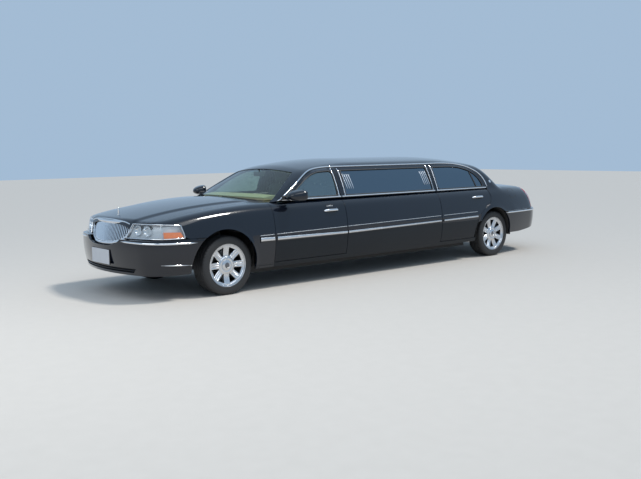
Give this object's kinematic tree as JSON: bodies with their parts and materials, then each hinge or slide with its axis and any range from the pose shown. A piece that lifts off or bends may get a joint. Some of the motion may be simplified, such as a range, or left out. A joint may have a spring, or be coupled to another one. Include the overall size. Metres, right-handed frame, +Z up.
{
  "type": "stretch limousine",
  "caption": "Black stretch limousine on a full-size saloon body, with chrome upright-bar grille, chrome mouldings, dark glass, alloy wheels, opening doors, hood and trunk lid.",
  "frame": {"origin": "On the ground under the middle of the bounding box.", "axes": "+X towards the nose, +Y towards the left side of the car, +Z up."},
  "size_m": [7.249, 2.314, 1.5009],
  "materials": {
    "black_paint": "gloss",
    "chrome": "polished",
    "clear_glass": "gloss",
    "dark_glass": "gloss",
    "clear_lens": "gloss",
    "red_lens": "gloss",
    "tyre_rubber": "matte",
    "alloy": "satin",
    "frame_paint": "satin",
    "cast_parts": "matte",
    "steel": "satin",
    "trim_plastic": "matte",
    "black_plastic": "gloss",
    "seat_leather": "satin"
  },
  "bodies": {
    "body": {"chassis_frame": "frame_paint", "dashboard": "trim_plastic", "drive_shaft": "steel", "engine": "cast_parts", "exhaust": "steel", "floor_pan": "frame_paint", "front_bumper": "black_paint", "front_fenders": "black_paint", "front_seats": "seat_leather", "front_suspension": "cast_parts", "fuel_tank": "frame_paint", "grille": "chrome", "headlights": "clear_lens", "partition": "trim_plastic", "radiator_support": "frame_paint", "rear_axle": "cast_parts", "rear_body": "black_paint", "rear_bumper": "black_paint", "rear_seats": "seat_leather", "rear_window": "dark_glass", "roof": "black_paint", "side_panels": "black_paint", "side_windows": "dark_glass", "steering_wheel": "black_plastic", "tail_lights": "red_lens", "windshield": "clear_glass"},
    "front_door_left": {"front_door_left": "black_paint", "front_door_glass_left": "clear_glass", "mirror_left": "black_plastic"},
    "front_door_right": {"front_door_right": "black_paint", "front_door_glass_right": "clear_glass", "mirror_right": "black_plastic"},
    "rear_door_left": {"rear_door_left": "black_paint", "rear_door_glass_left": "dark_glass"},
    "rear_door_right": {"rear_door_right": "black_paint", "rear_door_glass_right": "dark_glass"},
    "hood": {"hood": "black_paint"},
    "trunk_lid": {"trunk_lid": "black_paint"},
    "knuckle_left": {"knuckle_left": "cast_parts"},
    "knuckle_right": {"knuckle_right": "cast_parts"},
    "wheel_front_left": {"rim_front_left": "alloy", "tyre_front_left": "tyre_rubber"},
    "wheel_front_right": {"rim_front_right": "alloy", "tyre_front_right": "tyre_rubber"},
    "wheel_rear_left": {"rim_rear_left": "alloy", "tyre_rear_left": "tyre_rubber"},
    "wheel_rear_right": {"rim_rear_right": "alloy", "tyre_rear_right": "tyre_rubber"}
  },
  "joints": [
    {"name": "front_door_left_hinge", "type": "hinge", "parent": "body", "child": "front_door_left", "pos_m": [1.9105, 0.994, 0.65], "axis": [0, 0, -1], "range_deg": [0, 65]},
    {"name": "front_door_right_hinge", "type": "hinge", "parent": "body", "child": "front_door_right", "pos_m": [1.9105, -0.994, 0.65], "axis": [0, 0, 1], "range_deg": [0, 65]},
    {"name": "rear_door_left_hinge", "type": "hinge", "parent": "body", "child": "rear_door_left", "pos_m": [-1.0025, 0.994, 0.65], "axis": [0, 0, -1], "range_deg": [0, 65]},
    {"name": "rear_door_right_hinge", "type": "hinge", "parent": "body", "child": "rear_door_right", "pos_m": [-1.0025, -0.994, 0.65], "axis": [0, 0, 1], "range_deg": [0, 65]},
    {"name": "hood_hinge", "type": "hinge", "parent": "body", "child": "hood", "pos_m": [2.0595, 0, 1.052], "axis": [0, -1, 0], "range_deg": [0, 50]},
    {"name": "trunk_hinge", "type": "hinge", "parent": "body", "child": "trunk_lid", "pos_m": [-2.9545, 0, 1.05], "axis": [0, 1, 0], "range_deg": [0, 75]},
    {"name": "steer_left", "type": "hinge", "parent": "body", "child": "knuckle_left", "pos_m": [2.5295, 0.655, 0.337], "axis": [0, 0, 1], "range_deg": [-33, 33]},
    {"name": "steer_right", "type": "hinge", "parent": "body", "child": "knuckle_right", "pos_m": [2.5295, -0.655, 0.337], "axis": [0, 0, 1], "range_deg": [-33, 33]},
    {"name": "spin_front_left", "type": "hinge", "parent": "knuckle_left", "child": "wheel_front_left", "pos_m": [2.5295, 0.804, 0.337], "axis": [0, 1, 0], "continuous": true},
    {"name": "spin_front_right", "type": "hinge", "parent": "knuckle_right", "child": "wheel_front_right", "pos_m": [2.5295, -0.804, 0.337], "axis": [0, 1, 0], "continuous": true},
    {"name": "spin_rear_left", "type": "hinge", "parent": "body", "child": "wheel_rear_left", "pos_m": [-2.2395, 0.804, 0.337], "axis": [0, 1, 0], "continuous": true},
    {"name": "spin_rear_right", "type": "hinge", "parent": "body", "child": "wheel_rear_right", "pos_m": [-2.2395, -0.804, 0.337], "axis": [0, 1, 0], "continuous": true}
  ],
  "couplings": [
    {"joint": "steer_right", "follows": "steer_left", "ratio": 1}
  ]
}
